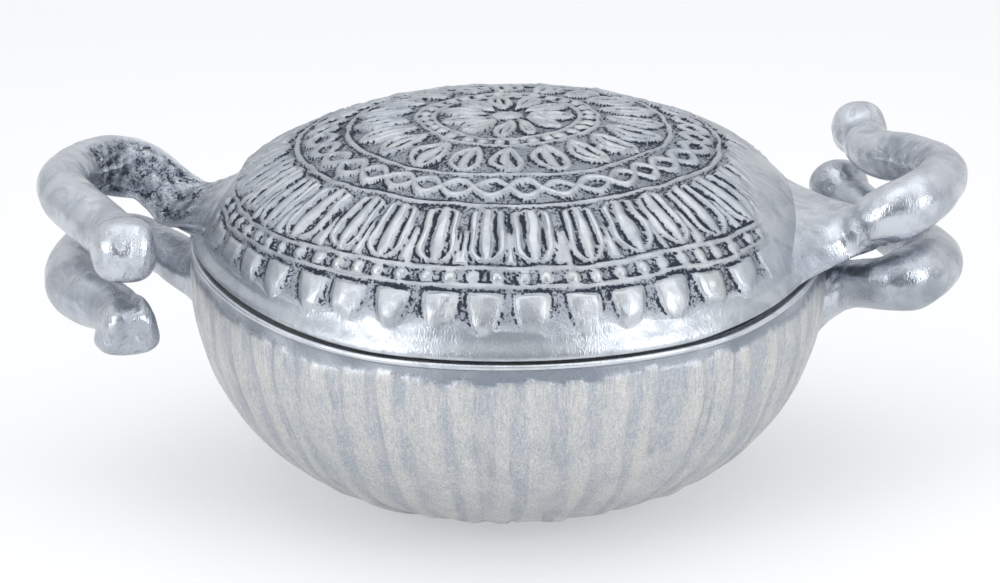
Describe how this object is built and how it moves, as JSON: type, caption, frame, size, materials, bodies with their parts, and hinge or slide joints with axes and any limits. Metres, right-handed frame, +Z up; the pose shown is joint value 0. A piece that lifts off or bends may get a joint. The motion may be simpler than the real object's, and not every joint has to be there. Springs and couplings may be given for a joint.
{
  "type": "lidded casserole dish",
  "caption": "Round cast metal casserole bowl with a domed lid in relief that lifts off, and hooked arms ending in balls as handles on both castings.",
  "frame": {"origin": "centre of the flat foot, on the surface that the dish stands on", "axes": "+Z up through the middle of the bowl and lid, +X along the arms towards the right arms, and +Y to the back"},
  "size_m": [0.3504, 0.24, 0.143],
  "materials": {
    "satin_casting": "satin sand casting with broad flutes, blue-grey and warm grey mottling, and a polished band under the rim",
    "relief_casting": "polished raised relief with dark speckled patina in the hollows and a bright polished apron",
    "polished_arm": "polished by hand with soft facets, scratches and pits, dark and rough inside the hooks"
  },
  "bodies": {
    "bowl": {"bowl_shell": "satin_casting", "bowl_arm_left": "polished_arm", "bowl_arm_right": "polished_arm"},
    "lid": {"lid_shell": "relief_casting", "lid_arm_left": "polished_arm", "lid_arm_right": "polished_arm"}
  },
  "joints": [
    {"name": "lid_lift", "type": "slide", "parent": "bowl", "child": "lid", "axis": [0, 0, 1], "range_m": [0, 0.12]}
  ]
}
